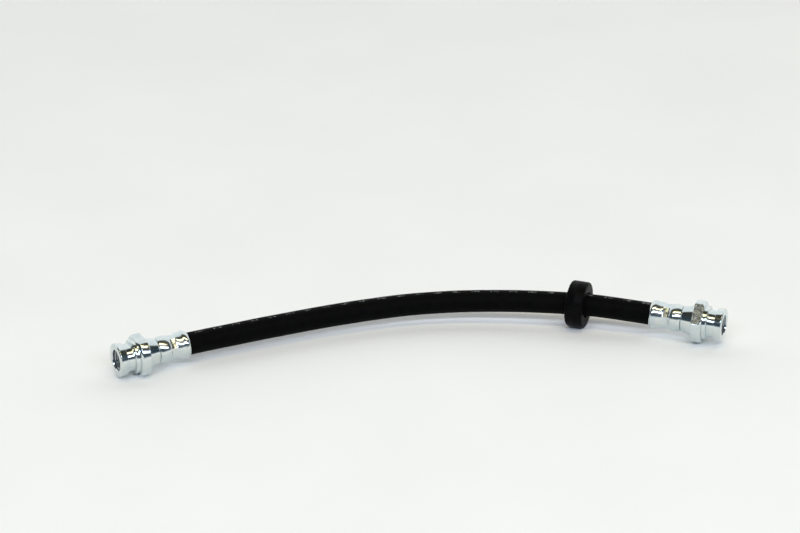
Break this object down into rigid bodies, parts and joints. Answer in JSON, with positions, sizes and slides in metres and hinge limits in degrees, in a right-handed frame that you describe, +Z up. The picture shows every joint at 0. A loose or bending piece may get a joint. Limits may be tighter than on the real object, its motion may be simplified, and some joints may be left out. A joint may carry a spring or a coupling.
{
  "type": "brake hose",
  "caption": "Short flexible brake hose with a crimped female end fitting and clip groove at each end and a rubber protector ring, lying in a gentle curve.",
  "frame": {"origin": "on the surface that the hose lies on, under the middle of the box round the metal fittings and the ring", "axes": "+X from the left port to the right port, +Z up, and the hose bows towards +Y"},
  "size_m": [0.2882, 0.0511, 0.022],
  "materials": {
    "zinc_plate": "bright bluish zinc plating on turned steel",
    "cover_rubber": "black extruded rubber with a dull sheen",
    "ring_rubber": "black moulded rubber, satin",
    "liner_rubber": "plain black rubber inside the hose",
    "braid_yarn": "braided pale polyester yarn"
  },
  "bodies": {
    "root": {"left_fitting": "zinc_plate", "right_fitting": "zinc_plate", "left_ferrule": "zinc_plate", "right_ferrule": "zinc_plate", "protector_ring": "ring_rubber", "hose_cover": "cover_rubber", "outer_braid": "braid_yarn", "cushion_layer": "liner_rubber", "inner_braid": "braid_yarn", "hose_liner": "liner_rubber"}
  },
  "joints": []
}
